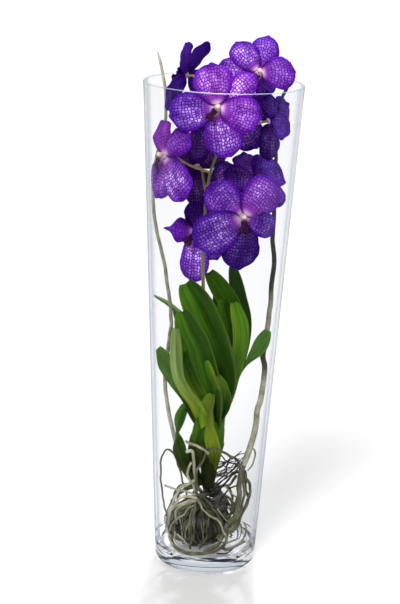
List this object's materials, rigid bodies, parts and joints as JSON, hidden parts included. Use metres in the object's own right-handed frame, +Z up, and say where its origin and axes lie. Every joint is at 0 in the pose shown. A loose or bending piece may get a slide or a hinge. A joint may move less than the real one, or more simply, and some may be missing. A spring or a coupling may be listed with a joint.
{
  "type": "vanda orchid in vase",
  "caption": "Bare-rooted orchid with strap leaves and a tall spike of round veined flowers, standing in a tall conical vase of clear glass.",
  "frame": {"origin": "centre of the vase's flat underside", "axes": "+Z up, along the vase's axis; -Y is the front seen in the picture; +X is to its right"},
  "size_m": [0.1888, 0.1888, 0.6539],
  "materials": {
    "clear_glass": "smooth clear glass, thin wall and thick foot",
    "leaf_green": "leathery mid green leaves with a soft sheen",
    "spike_green": "smooth olive green stalk",
    "root_velamen": "matt grey-brown to olive roots, dark where old",
    "aerial_root": "matt silver-grey root skin",
    "tepal_violet": "soft violet petal with a net of darker veins round paler cells",
    "lip_maroon": "dark velvety maroon",
    "column_cream": "smooth cream with a pink tinge"
  },
  "bodies": {
    "root": {"aerial_root_left": "aerial_root", "aerial_root_right": "aerial_root", "bloom_front_low_column": "column_cream", "bloom_front_low_lip": "lip_maroon", "bloom_front_low_tepals": "tepal_violet", "bloom_front_top_column": "column_cream", "bloom_front_top_lip": "lip_maroon", "bloom_front_top_tepals": "tepal_violet", "bloom_inner_left_column": "column_cream", "bloom_inner_left_lip": "lip_maroon", "bloom_inner_left_tepals": "tepal_violet", "bloom_left_column": "column_cream", "bloom_left_lip": "lip_maroon", "bloom_left_tepals": "tepal_violet", "bloom_low_left_column": "column_cream", "bloom_low_left_lip": "lip_maroon", "bloom_low_left_tepals": "tepal_violet", "bloom_rear_high_column": "column_cream", "bloom_rear_high_lip": "lip_maroon", "bloom_rear_high_tepals": "tepal_violet", "bloom_rear_low_column": "column_cream", "bloom_rear_low_lip": "lip_maroon", "bloom_rear_low_tepals": "tepal_violet", "bloom_right_high_column": "column_cream", "bloom_right_high_lip": "lip_maroon", "bloom_right_high_tepals": "tepal_violet", "bloom_right_mid_column": "column_cream", "bloom_right_mid_lip": "lip_maroon", "bloom_right_mid_tepals": "tepal_violet", "bloom_upper_left_column": "column_cream", "bloom_upper_left_lip": "lip_maroon", "bloom_upper_left_tepals": "tepal_violet", "bloom_upper_right_column": "column_cream", "bloom_upper_right_lip": "lip_maroon", "bloom_upper_right_tepals": "tepal_violet", "flower_spike": "spike_green", "leafy_stem": "leaf_green", "root_tangle": "root_velamen", "vase": "clear_glass"}
  },
  "joints": []
}
